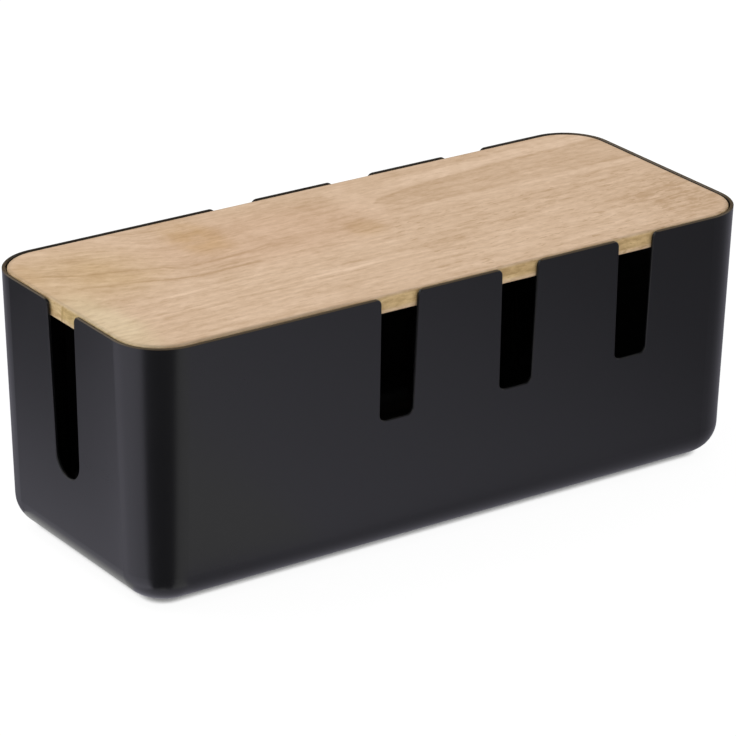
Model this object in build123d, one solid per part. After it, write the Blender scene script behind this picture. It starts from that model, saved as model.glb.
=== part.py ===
"""Cable management box: a moulded plastic tub with cable slots, a drop-in wooden lid and four rubber feet.

Lengths are in millimetres and angles in degrees. X runs along the box, from the end wall with a slot (-X)
to the closed one, Y runs from the front to the rear, and Z is up. The origin is at table level, under the
middle of the box.
"""

import os
from itertools import pairwise, product
from math import radians, tan

from build123d import *

# Tub, measured outside
BOX_LENGTH = 305.0  # at the rim
BOX_WIDTH = 125.0  # at the rim
BOX_HEIGHT = 113.5  # from the underside to the rim
CORNER_RADIUS = 22.0  # of the upright corners, at the rim
BASE_RADIUS = 13.5  # between the walls and the underside
DRAFT = 1.75  # lean of every wall, so that the moulding leaves its tool
WALL = 1.5
FLOOR = 2.4
EDGE_BREAK = 0.35  # along the rim and round the slots, inside and outside

# Side slots, cut in pairs through the front and rear walls
SIDE_SLOT_COUNT = 3
SIDE_SLOT_PITCH = 60.0
SIDE_SLOT_END_GAP = 63.6  # from the closed end to the middle of the nearest slot
SIDE_SLOT_MOUTH = 18.0  # width at the rim
SIDE_SLOT_FOOT = 16.4  # width just above the bottom corners
SIDE_SLOT_DEPTH = 54.5
SIDE_SLOT_CORNER = 3.0

# End slot, a longer one for the mains lead, with a round bottom
END_SLOT_MOUTH = 21.0
END_SLOT_FOOT = 18.5  # width where the round bottom starts
END_SLOT_DEPTH = 74.8

MOUTH_RADIUS = 3.0  # where the sides of a slot turn out into the rim

# Lid, which lies flush with the rim
LID_THICKNESS = 7.7
LID_GAP = 0.4  # from the lid's lower edge to the walls
LID_TOP_ROUND = 1.0
LID_EDGE_BREAK = 0.5  # along the lower edge

# Ribs inside the walls, which carry the lid
RIB_THICKNESS = 1.5
RIB_DEPTH = 4.0  # from the wall inwards
LONG_WALL_RIB_GAP = 36.0  # from an end of the box to the nearest rib on a long wall
END_WALL_RIB_GAP = 30.0  # from a side of the box to the nearest rib on an end wall

# Feet, glued into shallow pockets in the underside
FOOT_RADIUS = 8.0
FOOT_THICKNESS = 2.5
FOOT_EDGE_BREAK = 0.5  # where it stands on the table
FOOT_INSET = 19.0  # from the rounded base edge to the middle of a foot, both ways
POCKET_DEPTH = 1.0
POCKET_GAP = 0.25  # round the foot

STAND_OFF = FOOT_THICKNESS - POCKET_DEPTH  # from the table to the underside
RIM_Z = STAND_OFF + BOX_HEIGHT
LID_SEAT_Z = RIM_Z - LID_THICKNESS

SHARP = 30.0  # least angle between two faces at an edge that is broken


def lean(drop):
    """How far inwards a wall has come at this drop below the rim."""
    return drop * tan(radians(DRAFT))


def drafted_block(inset, height):
    """A solid tub shape this far inside the outer walls, hanging from the level of the rim."""
    outline = RectangleRounded(BOX_LENGTH - 2 * inset, BOX_WIDTH - 2 * inset, CORNER_RADIUS - inset)
    block = extrude(outline, amount=-height, taper=DRAFT)
    base_edges = block.faces().sort_by(Axis.Z).first.edges()
    return Pos(Z=RIM_Z) * fillet(base_edges, BASE_RADIUS - inset)


def slot_profile(mouth, foot, depth, corner):
    """A slot that narrows towards its bottom corners and flares into the rim, which is at y = 0."""
    spread = foot / 2 - corner
    # The two corners are one and the same where the bottom is a half circle.
    corners = [Edge.make_circle(corner, Plane((x, corner - depth))) for x in {-spread, spread}]
    opening = Edge.make_line((-mouth / 2, 0), (mouth / 2, 0))
    above_rim = Pos(Y=MOUTH_RADIUS) * Rectangle(mouth + 4 * MOUTH_RADIUS, 2 * MOUTH_RADIUS)
    profile = make_hull([opening, *corners]) + above_rim
    mouth_corners = profile.vertices().group_by(SortBy.DISTANCE)[0]
    return fillet(mouth_corners, MOUTH_RADIUS)


def side_slot_places():
    """The middles of the side slots along X, from the closed end on."""
    nearest = BOX_LENGTH / 2 - SIDE_SLOT_END_GAP
    return [nearest - index * SIDE_SLOT_PITCH for index in range(SIDE_SLOT_COUNT)]


def slot_cuts():
    """A cut through both long walls for each pair of side slots, and one through the end wall at -X."""
    side = slot_profile(SIDE_SLOT_MOUTH, SIDE_SLOT_FOOT, SIDE_SLOT_DEPTH, SIDE_SLOT_CORNER)
    across = extrude(Plane.XZ * side, amount=BOX_WIDTH, both=True)
    end = slot_profile(END_SLOT_MOUTH, END_SLOT_FOOT, END_SLOT_DEPTH, END_SLOT_FOOT / 2)
    along = extrude(Plane.YZ * end, amount=-BOX_LENGTH)
    return [Pos(x, 0, RIM_Z) * across for x in side_slot_places()] + [Pos(Z=RIM_Z) * along]


def sharp_edges(solid):
    """The edges at which two faces meet at an angle, where others run smoothly into each other."""
    sides = {}
    for face in solid.faces():
        for edge in face.edges():
            sides.setdefault(edge, []).append(face)
    return [edge for edge, (one, other) in sides.items()
            if one.normal_at(edge @ 0.5).get_angle(other.normal_at(edge @ 0.5)) > SHARP]


def rib_plates():
    """Upright plates across the whole box where the ribs stand, at its ends and between its side slots."""
    end = BOX_LENGTH / 2 - LONG_WALL_RIB_GAP
    side = BOX_WIDTH / 2 - END_WALL_RIB_GAP
    between_slots = [(one + other) / 2 for one, other in pairwise(side_slot_places())]
    across = Pos(Z=LID_SEAT_Z / 2) * Box(RIB_THICKNESS, BOX_WIDTH, LID_SEAT_Z)
    along = Pos(Z=LID_SEAT_Z / 2) * Box(BOX_LENGTH, RIB_THICKNESS, LID_SEAT_Z)
    plates = [Pos(X=x) * across for x in (-end, *between_slots, end)]
    return plates + [Pos(Y=y) * along for y in (-side, side)]


def foot_places():
    """The middle of each foot on the table, by name."""
    x, y = (half - lean(BOX_HEIGHT) - BASE_RADIUS - FOOT_INSET for half in (BOX_LENGTH / 2, BOX_WIDTH / 2))
    ends = {"left": -x, "right": x}
    sides = {"front": -y, "rear": y}
    return {f"foot_{side}_{end}": Pos(ends[end], sides[side]) for side, end in product(sides, ends)}


def box_body():
    """The tub: slotted walls with broken edges, upright ribs for the lid, and pockets for the feet."""
    inside = drafted_block(WALL, BOX_HEIGHT - FLOOR)
    between_ribs = drafted_block(WALL + RIB_DEPTH, BOX_HEIGHT - FLOOR)
    shell = drafted_block(0, BOX_HEIGHT) - inside - slot_cuts()
    shell = chamfer(sharp_edges(shell), EDGE_BREAK)
    lining = inside - between_ribs
    shell += [lining & plate for plate in rib_plates()]
    pocket = Pos(Z=STAND_OFF) * Cylinder(FOOT_RADIUS + POCKET_GAP, 2 * POCKET_DEPTH)
    return shell - [place * pocket for place in foot_places().values()]


def lid_board():
    """The lid: a board that clears the walls at its lower edge, where they are nearest."""
    inset = WALL + lean(RIM_Z - LID_SEAT_Z) + LID_GAP
    outline = RectangleRounded(BOX_LENGTH - 2 * inset, BOX_WIDTH - 2 * inset, CORNER_RADIUS - inset)
    board = extrude(outline, amount=LID_THICKNESS)
    board = fillet(board.faces().sort_by(Axis.Z).last.edges(), LID_TOP_ROUND)
    board = chamfer(board.faces().sort_by(Axis.Z).first.edges(), LID_EDGE_BREAK)
    return Pos(Z=LID_SEAT_Z) * board


def foot():
    """One foot: a rubber disc with a broken edge where it stands on the table."""
    disc = extrude(Circle(FOOT_RADIUS), amount=FOOT_THICKNESS)
    return chamfer(disc.faces().sort_by(Axis.Z).first.edges(), FOOT_EDGE_BREAK)


pieces = {"box_body": box_body(), "lid_board": lid_board()}
for name, place in foot_places().items():
    pieces[name] = place * foot()

os.makedirs("parts", exist_ok=True)
for name, piece in pieces.items():
    export_step(piece, f"parts/{name}.step")
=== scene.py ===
"""Finish of a cable management box: black moulded tub, pale wooden lid, rubber feet, and a white studio.

The studio is in metres and the materials are in millimetres. X runs along the box from the end wall that
has a slot, Y runs from the front to the rear, and Z is up.
"""

from math import cos, radians, sin

import bpy
from bpy.props import FloatProperty, FloatVectorProperty, PointerProperty
from mathutils import Matrix, Vector


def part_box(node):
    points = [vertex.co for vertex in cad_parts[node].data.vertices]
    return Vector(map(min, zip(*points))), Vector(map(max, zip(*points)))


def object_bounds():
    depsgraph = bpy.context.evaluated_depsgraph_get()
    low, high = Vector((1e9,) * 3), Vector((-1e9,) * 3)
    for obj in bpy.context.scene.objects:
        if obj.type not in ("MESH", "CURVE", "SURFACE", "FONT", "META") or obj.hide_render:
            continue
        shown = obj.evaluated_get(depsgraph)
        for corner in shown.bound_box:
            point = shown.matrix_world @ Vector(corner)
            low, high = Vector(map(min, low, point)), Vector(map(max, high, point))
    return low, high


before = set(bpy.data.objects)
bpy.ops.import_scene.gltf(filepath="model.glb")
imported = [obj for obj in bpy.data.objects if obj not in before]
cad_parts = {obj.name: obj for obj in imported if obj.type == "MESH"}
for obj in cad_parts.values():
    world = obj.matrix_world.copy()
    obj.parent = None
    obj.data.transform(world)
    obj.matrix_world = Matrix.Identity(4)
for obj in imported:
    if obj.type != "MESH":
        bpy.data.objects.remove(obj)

bl_info = {
    "name": "Cable box finish",
    "version": (1, 0, 0),
    "blender": (4, 5, 0),
    "location": "3D View > Sidebar > Cable box",
    "description": "Materials and studio for a moulded cable management box with a wooden lid",
    "category": "Object",
}

CAD_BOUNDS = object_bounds()

TUB = "box_body"
LID = "lid_board"
FEET = [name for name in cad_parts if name.startswith("foot_")]

MM = 1000.0  # millimetres in a metre
TUB_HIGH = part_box(TUB)[1] * MM
LID_LOW, LID_HIGH = (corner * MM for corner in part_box(LID))


# Shader building

MIX_SHARE, MIX_FIRST, MIX_SECOND = 0, 6, 7  # inputs of a Mix node for colours
MIX_RESULT = 2  # and its output
NOISE_MEAN = 0.5
SCREEN_WHITE = 255.0


class Value:
    """A socket's value inside a node tree. Arithmetic on it adds Math nodes."""

    def __init__(self, shader, socket):
        self.shader = shader
        self.socket = socket

    def __add__(self, other):
        return self.shader.math("ADD", self, other)

    def __radd__(self, other):
        return self.shader.math("ADD", other, self)

    def __sub__(self, other):
        return self.shader.math("SUBTRACT", self, other)

    def __rsub__(self, other):
        return self.shader.math("SUBTRACT", other, self)

    def __mul__(self, other):
        return self.shader.math("MULTIPLY", self, other)

    def __rmul__(self, other):
        return self.shader.math("MULTIPLY", other, self)

    def __truediv__(self, other):
        return self.shader.math("DIVIDE", self, other)


class Shader:
    """A material's or the world's node tree."""

    def __init__(self, owner):
        owner.use_nodes = True
        self.tree = owner.node_tree
        self.tree.nodes.clear()

    def add(self, kind, settings=None, sockets=None, output=0):
        """A node with its settings, a colour ramp's among them, then the values or links of its sockets."""
        node = self.tree.nodes.new(kind)
        for name, value in (settings or {}).items():
            if name == "ramp":
                self.set_ramp(node.color_ramp, *value)
            else:
                setattr(node, name, value)
        for name, value in (sockets or {}).items():
            if isinstance(value, Value):
                self.tree.links.new(value.socket, node.inputs[name])
            else:
                node.inputs[name].default_value = value
        return Value(self, node.outputs[output]) if len(node.outputs) else None

    @staticmethod
    def set_ramp(ramp, interpolation, stops):
        """Gives a colour ramp its interpolation and its (place, level) stops."""
        ramp.interpolation = interpolation
        while len(ramp.elements) < len(stops):
            ramp.elements.new(1.0)
        for element, (place, level) in zip(ramp.elements, stops):
            element.position = place
            element.color = (level, level, level, 1.0)

    def math(self, operation, *values):
        """A Math node's result."""
        return self.add("ShaderNodeMath", {"operation": operation}, dict(enumerate(values)))

    def vector(self, operation, *values):
        """A Vector Math node's result."""
        return self.add("ShaderNodeVectorMath", {"operation": operation}, dict(enumerate(values)))

    def place(self):
        """The point being shaded, in millimetres in the part's own frame."""
        metres = self.add("ShaderNodeTexCoord", output="Object")
        return self.vector("MULTIPLY", metres, (MM,) * 3)

    def split(self, vector):
        """A vector's X, Y and Z."""
        first = self.add("ShaderNodeSeparateXYZ", sockets={0: vector})
        return [Value(self, socket) for socket in first.socket.node.outputs]

    def noise(self, place, size, detail=2.0, roughness=0.5, output=0):
        """Noise from 0 to 1 whose features are about this size in millimetres along X, Y and Z."""
        stretched = self.vector("DIVIDE", place, size)
        return self.add("ShaderNodeTexNoise", sockets={
            "Vector": stretched, "Scale": 1.0, "Detail": detail, "Roughness": roughness}, output=output)

    def wander(self, place, size, reach):
        """A place moved about at random, by up to half this reach in millimetres along X, Y and Z."""
        shift = self.vector("SUBTRACT", self.noise(place, size, output="Color"), (NOISE_MEAN,) * 3)
        return self.vector("ADD", place, self.vector("MULTIPLY", shift, reach))

    def swing(self, noise, span):
        """Noise made to swing about 0, as far up as down, over this span."""
        return (noise - NOISE_MEAN) * span

    def step(self, value, low, high):
        """A smooth step up from 0 to 1 between two values."""
        return self.add("ShaderNodeMapRange", {"interpolation_type": "SMOOTHSTEP"}, {
            "Value": value, "From Min": low, "From Max": high})

    def curve(self, value, points):
        """A smooth curve through (value, result) points, level beyond the last ones."""
        places, results = zip(*points)
        low, span = min(results), max(results) - min(results)
        length = places[-1] - places[0]
        stops = [((at - places[0]) / length, (result - low) / span) for at, result in points]
        along = (value - places[0]) / length
        return self.add("ShaderNodeValToRGB", {"ramp": ("CARDINAL", stops)}, {0: along}) * span + low

    def bell(self, share):
        """1 where the share is 0, falling off to nothing as it passes 1 on either side."""
        return self.math("EXPONENT", share * share * -1.0)

    def patch(self, x, y, middle, reach):
        """A soft oval patch, from 0 to 1."""
        across, along = (x - middle[0]) / reach[0], (y - middle[1]) / reach[1]
        return self.bell(across * across + along * along)

    def mix(self, share, first, second, blend="MIX"):
        """One colour going over into another."""
        return self.add("ShaderNodeMix", {"data_type": "RGBA", "blend_type": blend}, {
            MIX_SHARE: share, MIX_FIRST: first, MIX_SECOND: second}, MIX_RESULT)

    def tint(self, share, colour, tint):
        """A colour multiplied by a tint, as far as the share says."""
        return self.mix(share, colour, tint, "MULTIPLY")

    def surface(self, sockets, height, strength=1.0):
        """Ends a material in a principled surface with a bump whose height is in millimetres."""
        bump = self.add("ShaderNodeBump", sockets={
            "Strength": strength, "Distance": 1.0 / MM, "Height": height})
        surface = self.add("ShaderNodeBsdfPrincipled", sockets={**sockets, "Normal": bump})
        self.add("ShaderNodeOutputMaterial", sockets={0: surface})


def linear(colour):
    """A colour's linear values from its 0 to 255 sRGB values."""
    def channel(level):
        share = level / SCREEN_WHITE
        return share / 12.92 if share <= 0.04045 else ((share + 0.055) / 1.055) ** 2.4
    return tuple(channel(level) for level in colour)


def opaque(colour):
    """Linear colour values as a colour socket takes them."""
    return (*colour, 1.0)


# Settings

class TubLook(bpy.types.PropertyGroup):
    """Look of the moulded tub"""
    colour: FloatVectorProperty(
        name="Colour", description="Colour of the moulding", subtype="COLOR", size=3,
        default=linear((20, 20, 22)))
    # The rim colour is a painted reflection: warmer and paler where the rim top mirrors the lid and
    # backdrop.
    rim: FloatVectorProperty(
        name="Rim", description="Colour of the handled rim, a little warmer and paler", subtype="COLOR",
        size=3, default=linear((88, 75, 57)))
    roughness: FloatProperty(
        name="Roughness", description="Mean roughness of the moulded texture", subtype="FACTOR",
        default=0.3, min=0.0, max=1.0)
    reflection: FloatProperty(
        name="Reflection", description="Specular level", subtype="FACTOR", default=0.3, min=0.0, max=1.0)
    grain: FloatProperty(
        name="Grain", description="Depth of the moulded texture in millimetres", default=0.012,
        min=0.0, max=0.2)


class LidLook(bpy.types.PropertyGroup):
    """Look of the wooden lid"""
    pale: FloatVectorProperty(
        name="Early wood", description="Palest wood", subtype="COLOR", size=3,
        default=linear((240, 210, 181)))
    dark: FloatVectorProperty(
        name="Late wood", description="Darker wood at the end of a growth ring", subtype="COLOR", size=3,
        default=linear((198, 164, 128)))
    range: FloatProperty(
        name="Tone range", description="Screen levels between the palest and the darkest wood",
        default=46.0, min=1.0)
    edge: FloatVectorProperty(
        name="Cut edge", description="Tint of the sawn and sanded edges", subtype="COLOR", size=3,
        default=linear((251, 249, 214)))
    roughness: FloatProperty(
        name="Roughness", description="Mean roughness of the oiled surface", subtype="FACTOR",
        default=0.5, min=0.0, max=1.0)
    reflection: FloatProperty(
        name="Reflection", description="Specular level", subtype="FACTOR", default=0.3, min=0.0, max=1.0)


class FootLook(bpy.types.PropertyGroup):
    """Look of the rubber feet"""
    colour: FloatVectorProperty(
        name="Colour", description="Colour of the rubber", subtype="COLOR", size=3,
        default=linear((30, 30, 31)))
    dust: FloatVectorProperty(
        name="Dust", description="Colour of the rubber where it is dusty", subtype="COLOR", size=3,
        default=linear((44, 44, 45)))
    roughness: FloatProperty(
        name="Roughness", description="Mean roughness of the rubber", subtype="FACTOR",
        default=0.75, min=0.0, max=1.0)


class StudioSetup(bpy.types.PropertyGroup):
    """Lens and light levels of the studio"""
    lens: FloatProperty(
        name="Lens", description="Focal length in millimetres", subtype="DISTANCE_CAMERA", default=196.54,
        min=10.0)
    key: FloatProperty(
        name="Key light", description="Power of the large soft light", subtype="POWER", default=12.5,
        min=0.0)
    sky: FloatProperty(name="Sky", description="Strength of the even light all round", default=0.7, min=0.0)
    floor: FloatProperty(
        name="Floor glow", description="How far the floor is lifted towards white", subtype="FACTOR",
        default=0.94, min=0.0, max=1.0)


# Tub and feet. Lengths are in millimetres.

MOULD_GRAIN = ((0.4, 0.4, 0.4), 3.0)  # size, detail
MOULD_CLOUD_SIZE = (38.0, 38.0, 38.0)
MOULD_GRAIN_GLOSS = 0.06  # how far the roughness goes up and down with the grain
MOULD_CLOUD_GLOSS = 0.08  # and with the clouds
REFLECTING_RIM = (0.5, 0.2)  # below the rim, from none of the painted reflection to all of it
REFLECTING_REAR = (10.5, 1.5)  # in from the rear, where the painted reflection falls to its share there
REAR_SHARE = 0.25

RUBBER_GRAIN = ((0.25, 0.25, 0.25), 3.0)
RUBBER_GRAIN_GLOSS = 0.1
RUBBER_GRAIN_DEPTH = 0.02


def assign(names, material):
    """Gives CAD pieces a material in all their slots."""
    for name in names:
        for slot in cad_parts[name].material_slots:
            slot.material = material


def tub_plastic(look):
    """Satin black plastic with the fine grain of its mould, and a painted warm reflection along its rim."""
    material = bpy.data.materials.new("tub_plastic")
    shader = Shader(material)
    place = shader.place()
    grain = shader.noise(place, *MOULD_GRAIN)
    clouds = shader.noise(place, MOULD_CLOUD_SIZE)
    y, z = shader.split(place)[1:]
    # Painted reflection along the rim, weaker at the rear.
    reflecting = shader.step(z, *(TUB_HIGH.z - drop for drop in REFLECTING_RIM))
    rear = shader.step(y, *(TUB_HIGH.y - inset for inset in REFLECTING_REAR))
    reflecting = reflecting * (1.0 - (1.0 - REAR_SHARE) * rear)
    gloss = shader.swing(clouds, MOULD_CLOUD_GLOSS) + shader.swing(grain, MOULD_GRAIN_GLOSS)
    shader.surface({
        "Base Color": shader.mix(reflecting, opaque(look.colour), opaque(look.rim)),
        "Roughness": gloss + look.roughness,
        "Specular IOR Level": look.reflection,
    }, grain * look.grain)
    return material


def foot_rubber(look):
    """Black rubber with a dull, slightly dusty skin."""
    material = bpy.data.materials.new("foot_rubber")
    shader = Shader(material)
    grain = shader.noise(shader.place(), *RUBBER_GRAIN)
    shader.surface({
        "Base Color": shader.mix(grain, opaque(look.colour), opaque(look.dust)),
        "Roughness": shader.swing(grain, RUBBER_GRAIN_GLOSS) + look.roughness,
    }, grain * RUBBER_GRAIN_DEPTH)
    return material


# Lid. Lengths are in millimetres, places are seen from above, and tones are screen levels darker.

STREAKS = ((34.0, 3.4, 3.4), 4.0, 0.6)  # size, detail, roughness of the noise
FIBRES = ((7.0, 1.4, 1.4), 3.0, 0.6)
MOTTLE = ((5.0, 3.4, 3.4), 4.0, 0.65)
FLECKS = ((6.0, 1.2, 1.2), 1.0)
CLOUD_SIZE = (30.0, 12.0, 12.0)

MEAN_WOOD = 0.5  # share of late wood where the tone is 0
STREAK_TONE = 48.0
FIBRE_TONE = 34.0
MOTTLE_TONE = 30.0
FLECK_TONE = 20.0
CLOUD_TONE = 20.0

WAVES = [  # of the grain: size, reach
    ((22.0, 9.0, 9.0), (5.0, 2.4, 2.4)),
    ((3.0, 2.0, 2.0), (2.2, 1.3, 1.3))]
SWERVE = [(-150, 30), (-128, 22), (-103, 14), (-88, 3), (-70, 0), (-40, 0), (150, 0)]  # of the grain
SWERVE_Y = (-22.0, 34.0)  # from none of it to all of it across the board

FLECK_LEVELS = (0.6, 0.72)  # of noise, from plain wood to a fleck
FLECKED_X = (-10.0, 20.0)  # where flecks become plain to see
FLECKED_Y = (2.0, 14.0)  # and where they fade again
LEAST_FLECKED = 0.35

CALM_X = (-70.0, -40.0)  # where the streaks grow weaker
CALM_Y = (-4.0, 14.0)
CALM = 0.3  # and by how much
ROPY_PATCH = ((-80, -28), (60, 26))  # where they are stronger: middle, reach
ROPY = 0.5
ROUGH_PATCH = ((133, -33), (19, 24))  # where the fine grain is stronger
ROUGH = 0.8

FLAME_TOP = [(19, 30), (24, 34.5), (32, 36.7), (45, 39.2), (64, 41), (82, 42.5), (100, 43.8), (150, 45.5)]
FLAME_FOOT = [(19, 30), (23, 26), (27, 22.5), (40, 18.6), (62, 18), (87, 17.6), (150, 17.5)]
FLAME_BORDER = (-1.4, 0.6)  # from inside the flame to outside
FLAME_TIP = (16.0, 26.0)  # where it starts along X
FLAME_TONE = 4.0
FLAME_RIMS = [(-1.5, 2.6, 9.0), (-1.2, 1.8, 6.0)]  # outwards from its top and foot, half width, tone
HALOS = [(4.5, 4.5, -13.0), (3.2, 2.8, -10.0)]  # the same of the paler bands outside it
HALO_START = (22.0, 44.0)  # along X

GRAIN_LINES = [  # course, half width, tone
    ([(-143, 32), (-128, 25.5), (-115, 21.7), (-103, 18), (-95, 14),
      (-88, 10), (-70, 10), (-53, 11.7), (-40, 15)], 1.0, 15),
    ([(-140, 14), (-125, 9.2), (-112, 6), (-99, 2.2), (-88, -0.3), (-70, -1), (-50, -1.5)], 1.0, 15),
    ([(-46, 0), (-28, -1), (-18, -1.5), (-8, -6)], 0.9, 11),
    ([(25, 53.5), (60, 53), (100, 54)], 1.1, 6),
    ([(18, 3), (60, 1.2), (95, 2), (130, 0)], 1.2, 8),
    ([(-125, -15), (-100, -14), (-70, -12.4), (-50, -12)], 0.9, -12),
    ([(-120, -17), (-95, -16), (-70, -14.6), (-55, -14.4)], 0.7, 8),
    ([(-140, -30.5), (-100, -29.6), (-70, -28.3), (-25, -28), (18, -28.6)], 0.9, -11),
    ([(-130, -33), (-95, -32), (-60, -31.2), (-20, -31)], 0.8, 7),
    ([(-20, -37.5), (5, -37.2), (26, -37.8)], 0.8, -9),
    ([(-20, -39.6), (5, -39.4), (26, -39.8)], 0.7, 9)]
LINE_FADE = 10.0  # at both ends of a grain line
TONE_PATCHES = [  # middle, reach, tone
    ((14, 31), (9, 20), -8),
    ((133, -33), (19, 24), 8),
    ((-55, -16), (55, 15), -5),
    ((60, -42), (70, 13), -5),
    ((0, 13), (95, 7), 4),
    ((-78, 26), (13, 28), 4),
    ((-12, 42), (19, 17), 7),
    ((-143, -26), (9, 30), -10),
    ((-95, 44), (24, 16), -3),
    ((-75, -42), (50, 14), -3),
    ((42, 30), (20, 8), 4),
    ((1, 16), (7, 2), 6)]
TINT_PATCHES = [  # middle, reach, tint in screen levels
    ((-40, 22), (56, 28), (254, 250, 249)),
    ((-146, -26), (13, 34), (248, 255, 246)),
    ((-130, 24), (34, 30), (250, 249, 238))]

STAINS = [  # middle, reach, strength
    ((-66, 36), (12, 20), 1.12),
    ((-121, 24), (13, 15), 0.46),
    ((-108, 10), (14, 7), 0.3),
    ((0, 8), (9, 10), 0.55),
    ((-146, 38), (6, 14), 0.4)]
STAIN_TINT = (243, 236, 216)
BLOTCHES = ((12.0, 9.0, 9.0), 3.0)  # of unevenness in the stains: size, detail
BLOTCH_LEVELS = (0.2, 0.6)  # of noise, from the least stained to all of it
LEAST_STAINED = 0.45

LID_CORNER = 19.9  # radius of the lid's corners
BORDER = (0.5, 2.2)  # inwards from the lid's outline, from dark painted shade to none
BORDER_SHARE = 0.45  # of its full tint
FRONT_BORDER = (0.6, 3.6)  # the same in a darker stretch along the front
FRONT_BORDER_X = (-70.0, -30.0)  # where that stretch ends
FRONT_BORDER_Y = (-56.0, -44.0)
BORDER_SHADE_TINT = (196, 198, 194)

END_X = (-150.0, -146.0)  # from the end face at -X to wood that shows none of its figure
RING_PLACE = (1.8, 111.0)  # a growth ring on that face, along Y and Z
RING_LEAN = 0.15
RING_HALF_WIDTH = 0.55
RING_TONE = 46.0
HEART_Y = (1.8, 3.0)  # from the ring to the paler wood behind it
HEART_TONE = -4.0
HEART_CLEAN = 0.35  # how much of the edge's tint it lacks
STRIPE = (1.0, 2.8)  # above the underside, from a paler stripe of painted bounce light to the rest of the edge
STRIPE_TONE = -2.0
STRIPE_CLEAN = 0.6

FIBRE_GLOSS = 0.16  # how far the roughness goes up and down with the fibres
FIBRE_DEPTH = 0.02
FLECK_DEPTH = 0.04
WOOD_BUMP = 0.8


def bands(shader, distances, shapes):
    """The tone of soft bands beside lines, from the distance to each line and each band's shape."""
    return sum(shader.bell((distance - middle) / width) * tone
               for distance, (middle, width, tone) in zip(distances, shapes))


def figure(shader, x, y):
    """How many levels darker than its mean the wood is, without its fine grain."""
    outwards = y - shader.curve(x, FLAME_TOP), shader.curve(x, FLAME_FOOT) - y
    flame = 1.0 - shader.step(shader.math("MAXIMUM", *outwards), *FLAME_BORDER)
    tone = flame * shader.step(x, *FLAME_TIP) * (bands(shader, outwards, FLAME_RIMS) + FLAME_TONE)
    tone = tone + shader.step(x, *HALO_START) * bands(shader, outwards, HALOS)
    for course, width, level in GRAIN_LINES:
        first, last = course[0][0], course[-1][0]
        shown = shader.step(x, first, first + LINE_FADE) * (1.0 - shader.step(x, last - LINE_FADE, last))
        tone = tone + shader.bell((y - shader.curve(x, course)) / width) * shown * level
    for middle, reach, level in TONE_PATCHES:
        tone = tone + shader.patch(x, y, middle, reach) * level
    return tone


def wood_grain(shader, place, x, y, z):
    """The fine grain's tone, and the fibres and flecks in it, from 0 to 1."""
    swerve = shader.curve(x, SWERVE) * shader.step(y, *SWERVE_Y)
    course = shader.add("ShaderNodeCombineXYZ", sockets={0: x, 1: y - swerve, 2: z})
    fibres = shader.noise(course, *FIBRES)
    flecked = shader.step(x, *FLECKED_X) * (1.0 - shader.step(y, *FLECKED_Y))
    flecks = shader.step(shader.noise(course, *FLECKS), *FLECK_LEVELS)
    flecks = flecks * (LEAST_FLECKED + (1.0 - LEAST_FLECKED) * flecked)
    calm = shader.step(y, *CALM_Y) * shader.step(x, *CALM_X)
    ropy = 1.0 + shader.patch(x, y, *ROPY_PATCH) * ROPY - calm * CALM
    rough = 1.0 + shader.patch(x, y, *ROUGH_PATCH) * ROUGH
    streaks = shader.swing(shader.noise(course, *STREAKS), STREAK_TONE)
    clouds = shader.swing(shader.noise(place, CLOUD_SIZE), CLOUD_TONE)
    mottle = shader.swing(shader.noise(place, *MOTTLE), MOTTLE_TONE)
    fine = shader.swing(fibres, FIBRE_TONE) + mottle + flecks * FLECK_TONE
    return streaks * ropy + clouds + fine * rough, fibres, flecks


def edge_figure(shader, place):
    """How many levels darker the lid's edges are, and how strong their tint is, from 0 to 1, with a stripe
    of painted bounce light along their bottom.
    """
    x, y, z = shader.split(place)
    end = 1.0 - shader.step(x, *END_X)
    off_ring = y - RING_PLACE[0] + (z - RING_PLACE[1]) * RING_LEAN
    ring = shader.bell(off_ring / RING_HALF_WIDTH) * end
    heart = shader.step(y, *HEART_Y) * end
    # A paler stripe of painted bounce light along the bottom of the edges.
    lit_stripe = 1.0 - shader.step(z, *(LID_LOW.z + rise for rise in STRIPE))
    tone = ring * RING_TONE + heart * HEART_TONE + lit_stripe * STRIPE_TONE
    return tone, 1.0 - shader.math("MAXIMUM", lit_stripe * STRIPE_CLEAN, heart * HEART_CLEAN)


def shaded_border(shader, place):
    """How dark painted shade makes the lid's top along its border, from 0 to 1, and most at the front at -X.
    """
    x, y, _ = shader.split(place)
    past = [shader.math("MAXIMUM", shader.math("ABSOLUTE", value) - (half - LID_CORNER), 0.0)
            for value, half in ((x, LID_HIGH.x), (y, LID_HIGH.y))]
    inset = LID_CORNER - shader.math("SQRT", past[0] * past[0] + past[1] * past[1])
    front = (1.0 - shader.step(x, *FRONT_BORDER_X)) * (1.0 - shader.step(y, *FRONT_BORDER_Y))
    return shader.math("MAXIMUM", (1.0 - shader.step(inset, *BORDER)) * BORDER_SHARE,
                       (1.0 - shader.step(inset, *FRONT_BORDER)) * front)


def stained(shader, place, x, y, colour):
    """The wood's colour with its stains and its warmer and paler patches."""
    stain = sum(shader.patch(x, y, middle, reach) * strength for middle, reach, strength in STAINS)
    blotches = shader.step(shader.noise(place, *BLOTCHES), *BLOTCH_LEVELS)
    stain = stain * (LEAST_STAINED + (1.0 - LEAST_STAINED) * blotches)
    colour = shader.tint(stain, colour, opaque(linear(STAIN_TINT)))
    for middle, reach, tint in TINT_PATCHES:
        colour = shader.tint(shader.patch(x, y, middle, reach), colour, opaque(linear(tint)))
    return colour


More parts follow.
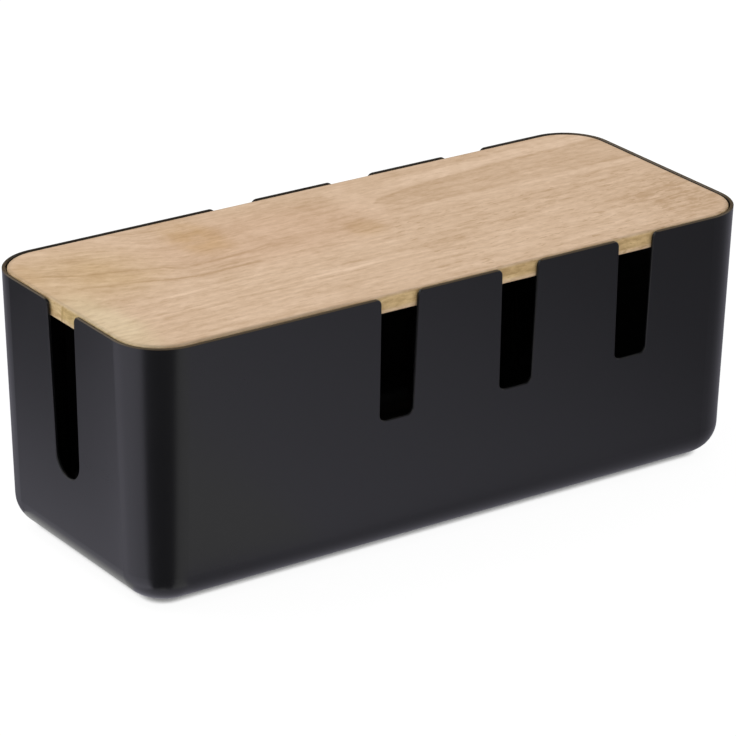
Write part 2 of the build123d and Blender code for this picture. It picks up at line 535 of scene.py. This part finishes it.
def lid_wood(look):
    """A flat-sawn board with a flame at one end, swerving grain at the other, streaks, stains and flecks."""
    material = bpy.data.materials.new("lid_wood")
    shader = Shader(material)
    place = shader.place()
    bent = place
    for size, reach in WAVES:
        bent = shader.wander(bent, size, reach)
    x, y, z = shader.split(bent)
    normal = shader.add("ShaderNodeNewGeometry", output="Normal")
    side = 1.0 - shader.math("ABSOLUTE", shader.split(normal)[2])
    tone, fibres, flecks = wood_grain(shader, place, x, y, z)
    edge_tone, edge_tint = edge_figure(shader, place)
    tone = tone * (1.0 + side) + figure(shader, x, y) * (1.0 - side) + edge_tone * side
    colour = shader.mix(tone / look.range + MEAN_WOOD, opaque(look.pale), opaque(look.dark))
    colour = stained(shader, place, x, y, colour)
    # Painted shade darkens the top along its border, most along the front.
    colour = shader.tint(shaded_border(shader, place) * (1.0 - side), colour, opaque(linear(BORDER_SHADE_TINT)))
    colour = shader.tint(side * edge_tint, colour, opaque(look.edge))
    shader.surface({
        "Base Color": colour,
        "Roughness": shader.swing(fibres, FIBRE_GLOSS) + look.roughness,
        "Specular IOR Level": look.reflection,
    }, fibres * FIBRE_DEPTH - flecks * FLECK_DEPTH, WOOD_BUMP)
    return material


# Studio. Lengths are in metres.

CAMERA_PLACE = Vector((-0.89511, -1.28575, 0.70721))
CAMERA_AZIMUTH = radians(-34.744)
CAMERA_ELEVATION = radians(22.630)
CAMERA_ROLL = radians(0.572)
SENSOR_WIDTH = 36.0  # in millimetres
FAR_CLIP = 100.0

KEY_PLACE = Vector((-0.6, 0.9, 1.6))
KEY_TARGET = Vector((0, 0, 0.05))
KEY_SIZE = 1.4
SKY_SEEN = (1.0, 1.0, 1.0, 1.0)  # by the camera and in reflections

FLOOR_HALF = 6.0
FLOOR_LIT = (0.8, 0.8, 0.8, 1.0)  # as the rays that light the box find it
FLOOR_SEEN = (0.12, 0.12, 0.12, 1.0)  # under the glow that lifts it to white
CONTACT_SHADOW_REACH = 0.0028  # of the painted contact shadow where the box stands
CONTACT_SHADOW_SAMPLES = 8
CONTACT_SHADOW_LEVELS = (0.15, 0.8)  # of openness, from no glow to all of it

LEFT, FRONT, _ = CAD_BOUNDS[0]
CORNER_LEFT = (LEFT, -0.0405)  # where the end wall turns into the near corner
CORNER_MIDDLE = (-0.1476, -0.0543)
CORNER_RIGHT = (-0.1367, -0.0616)
CARD_TINT = (0.88, 0.86, 1.0, 1.0)
CARD_LIFT = Vector((0, 0, 0.001))  # above the floor
# Painted reflections: glowing cards and dark ones, such as the black, top and rear cards, seen only in
# reflections.
REFLECTION_CARDS = {  # rungs of start, brightness there, end, brightness there
    "left_card": [
        (CORNER_LEFT, 0.86, (LEFT, 0.41), 0.34),
        ((-0.22, 0.0648), 0.36, (-0.22, 0.52), 0.36),
        ((-0.28, 0.1584), 0.0, (-0.28, 0.62), 0.06),
        ((-0.80, 0.9695), 0.0, (-0.80, 1.474), 0.05)],
    "white_card": [
        (CORNER_LEFT, 1.5, (-0.66, 0.751), 0.5),
        ((-0.150, -0.047), 1.8, (-0.90, 0.27), 1.3),
        (CORNER_MIDDLE, 2.25, (-0.91, -0.316), 2.25)],
    "black_card": [
        (CORNER_MIDDLE, 0.14, (-0.91, -0.316), 0.055),
        ((-0.143, -0.060), 0.14, (-0.70, -0.75), 0.055),
        (CORNER_RIGHT, 0.14, (-0.1245, -0.9), 0.055)],
    "front_card": [
        ((-0.05, -0.085), 1.12, (-0.05, -0.9), 1.12),
        ((0.10, -0.085), 0.76, (0.10, -0.9), 0.76),
        ((0.20, -0.085), 0.43, (0.20, -0.9), 0.43),
        ((0.30, -0.085), 0.3, (0.30, -0.9), 0.3),
        ((0.90, -0.085), 0.3, (0.90, -0.9), 0.3)],
    "near_card": [
        ((-0.125, FRONT), 0.5, (-0.125, -0.085), 1.0),
        ((-0.05, FRONT), 0.55, (-0.05, -0.085), 1.12),
        ((0.10, FRONT), 0.55, (0.10, -0.085), 0.76),
        ((0.19, FRONT), 0.5, (0.19, -0.085), 0.46),
        ((0.90, FRONT), 0.35, (0.90, -0.085), 0.3)],
    "under_card": [
        ((-0.130, -0.030), 0.5, CORNER_LEFT, 1.0),
        ((-0.126, -0.036), 0.5, CORNER_MIDDLE, 0.9),
        ((-0.120, -0.040), 0.4, CORNER_RIGHT, 0.75),
        ((-0.115, -0.044), 0.3, (-0.125, FRONT), 0.6),
        ((0.15, -0.044), 0.3, (0.15, FRONT), 0.55)],
    "right_card": [
        ((0.15, FRONT), 0.5, (0.90, FRONT), 0.35),
        ((0.15, -0.044), 0.45, (0.90, 0.0), 0.4),
        ((0.14, -0.02), 0.55, (0.90, 0.30), 0.55),
        ((0.14, 0.0), 0.9, (0.60, 0.70), 0.9)],
    "back_card": [
        ((LEFT, 0.05), 0.34, (LEFT, 0.41), 0.34),
        ((-0.10, 0.066), 1.5, (0.16, 0.60), 1.5)],
    "top_card": [
        ((-0.7, -0.7, 0.8), 0.05, (-0.7, 0.7, 0.8), 0.05),
        ((0.7, -0.7, 0.8), 0.05, (0.7, 0.7, 0.8), 0.05)],
    "rear_card": [
        ((-0.30, 0.95, 0.0), 0.05, (-0.30, 0.95, 0.7), 0.05),
        ((0.98, 0.05, 0.0), 0.05, (0.98, 0.05, 0.7), 0.05)],
}


def show(name, data):
    """A new object in the scene."""
    item = bpy.data.objects.new(name, data)
    bpy.context.collection.objects.link(item)
    return item


def camera(setup):
    """A long lens a little above the box, looking at its near corner."""
    azimuth, elevation = CAMERA_AZIMUTH, CAMERA_ELEVATION
    back = Vector((sin(azimuth) * cos(elevation), -cos(azimuth) * cos(elevation), sin(elevation)))
    right = Vector((0, 0, 1)).cross(back).normalized()
    turn = Matrix((right, back.cross(right), back)).transposed() @ Matrix.Rotation(CAMERA_ROLL, 3, "Z")
    data = bpy.data.cameras.new("camera")
    data.lens = setup.lens
    data.sensor_width = SENSOR_WIDTH
    data.clip_end = FAR_CLIP
    item = show("camera", data)
    item.matrix_world = Matrix.Translation(CAMERA_PLACE) @ turn.to_4x4()
    bpy.context.scene.camera = item


def key_light(setup):
    """One large soft light, high up on the left behind the box."""
    data = bpy.data.lights.new("key", "AREA")
    data.shape = "SQUARE"
    data.size = KEY_SIZE
    data.energy = setup.key
    item = show("key", data)
    item.location = KEY_PLACE
    item.rotation_mode = "QUATERNION"
    item.rotation_quaternion = (KEY_TARGET - KEY_PLACE).to_track_quat("-Z", "Y")


def seen_directly(shader):
    """1 for camera, glossy and transmission rays, and 0 for the rays that light the box."""
    path = shader.add("ShaderNodeLightPath").socket.node.outputs
    camera_ray, glossy, through = (Value(shader, path[name]) for name in (
        "Is Camera Ray", "Is Glossy Ray", "Is Transmission Ray"))
    return shader.math("MAXIMUM", camera_ray, shader.math("MAXIMUM", glossy, through))


def floor(setup):
    """A white floor whose glow is cut by a painted contact shadow where the box stands."""
    half = FLOOR_HALF
    corners = [(-half, -half, 0), (half, -half, 0), (half, half, 0), (-half, half, 0)]
    mesh = bpy.data.meshes.new("floor")
    mesh.from_pydata(corners, [], [(0, 1, 2, 3)])
    item = show("floor", mesh)
    material = bpy.data.materials.new("floor_white")
    shader = Shader(material)
    seen = seen_directly(shader)
    paint = shader.add("ShaderNodeBsdfDiffuse", sockets={"Color": shader.mix(seen, FLOOR_LIT, FLOOR_SEEN)})
    # Painted contact shadow: ambient occlusion cuts the floor's glow where the box stands.
    openness = shader.add("ShaderNodeAmbientOcclusion", {"samples": CONTACT_SHADOW_SAMPLES}, {
        "Distance": CONTACT_SHADOW_REACH}, "AO")
    glow = shader.add("ShaderNodeEmission", sockets={
        "Strength": seen * setup.floor * shader.step(openness, *CONTACT_SHADOW_LEVELS)})
    both = shader.add("ShaderNodeAddShader", sockets={0: paint, 1: glow})
    shader.add("ShaderNodeOutputMaterial", sockets={0: both})
    mesh.materials.append(material)


def card(name, rungs):
    """A glowing card that only reflections show, a painted reflection whose brightness goes over smoothly
    from one rung to the next.
    """
    mesh = bpy.data.meshes.new(name)
    ends = [end for rung in rungs for end in (rung[:2], rung[2:])]
    corners = [Vector(place).to_3d() + CARD_LIFT for place, _ in ends]
    mesh.from_pydata(corners, [], [(i, i + 1, i + 3, i + 2) for i in range(0, len(corners) - 2, 2)])
    brightness = mesh.attributes.new("brightness", "FLOAT", "POINT")
    brightness.data.foreach_set("value", [level for _, level in ends])
    item = show(name, mesh)
    item.visible_camera = item.visible_diffuse = item.visible_transmission = item.visible_shadow = False
    material = bpy.data.materials.new(name)
    shader = Shader(material)
    level = shader.add("ShaderNodeAttribute", {"attribute_name": "brightness"}, output="Fac")
    light = shader.add("ShaderNodeEmission", sockets={"Color": CARD_TINT, "Strength": level})
    shader.add("ShaderNodeOutputMaterial", sockets={0: light})
    mesh.materials.append(material)


def reflection_cards():
    """Bright and dark cards round the near corner and walls, above and behind, which paint the reflections
    the plastic mirrors.
    """
    for name, rungs in REFLECTION_CARDS.items():
        card(name, rungs)


def sky(setup):
    """Even light from all round, and a white backdrop."""
    world = bpy.data.worlds.new("studio")
    bpy.context.scene.world = world
    shader = Shader(world)
    strength = shader.mix(seen_directly(shader), opaque((setup.sky,) * 3), SKY_SEEN)
    light = shader.add("ShaderNodeBackground", sockets={"Color": strength})
    shader.add("ShaderNodeOutputWorld", sockets={0: light})


# Operators

class CABLEBOX_OT_tub(bpy.types.Operator):
    """Finish the moulded tub"""
    bl_idname = "cable_box.tub"
    bl_label = "Finish tub"

    def execute(self, context):
        assign([TUB], tub_plastic(context.scene.cable_tub))
        return {"FINISHED"}


class CABLEBOX_OT_lid(bpy.types.Operator):
    """Finish the wooden lid"""
    bl_idname = "cable_box.lid"
    bl_label = "Finish lid"

    def execute(self, context):
        assign([LID], lid_wood(context.scene.cable_lid))
        return {"FINISHED"}


class CABLEBOX_OT_feet(bpy.types.Operator):
    """Finish the rubber feet"""
    bl_idname = "cable_box.feet"
    bl_label = "Finish feet"

    def execute(self, context):
        assign(FEET, foot_rubber(context.scene.cable_feet))
        return {"FINISHED"}


class CABLEBOX_OT_studio(bpy.types.Operator):
    """Set up floor, lights and camera"""
    bl_idname = "cable_box.studio"
    bl_label = "Set up studio"

    def execute(self, context):
        setup = context.scene.cable_studio
        camera(setup)
        floor(setup)
        reflection_cards()
        sky(setup)
        key_light(setup)
        context.scene.view_settings.view_transform = "Standard"
        return {"FINISHED"}


STEPS = [  # operator, the name of its settings in the scene, their group
    (CABLEBOX_OT_tub, "cable_tub", TubLook),
    (CABLEBOX_OT_lid, "cable_lid", LidLook),
    (CABLEBOX_OT_feet, "cable_feet", FootLook),
    (CABLEBOX_OT_studio, "cable_studio", StudioSetup),
]


class CABLEBOX_PT_panel(bpy.types.Panel):
    """The settings and the operator of each step"""
    bl_label = "Cable box"
    bl_space_type = "VIEW_3D"
    bl_region_type = "UI"
    bl_category = "Cable box"

    def draw(self, context):
        for operator, name, group in STEPS:
            settings = getattr(context.scene, name)
            box = self.layout.box()
            for setting in group.__annotations__:
                box.prop(settings, setting)
            box.operator(operator.bl_idname)


def register():
    for operator, name, group in STEPS:
        bpy.utils.register_class(group)
        bpy.utils.register_class(operator)
        setattr(bpy.types.Scene, name, PointerProperty(type=group))
    bpy.utils.register_class(CABLEBOX_PT_panel)


def unregister():
    bpy.utils.unregister_class(CABLEBOX_PT_panel)
    for operator, name, group in reversed(STEPS):
        delattr(bpy.types.Scene, name)
        bpy.utils.unregister_class(operator)
        bpy.utils.unregister_class(group)


def main():
    register()
    bpy.ops.cable_box.tub()
    bpy.ops.cable_box.lid()
    bpy.ops.cable_box.feet()
    bpy.ops.cable_box.studio()


if __name__ == "__main__":
    main()
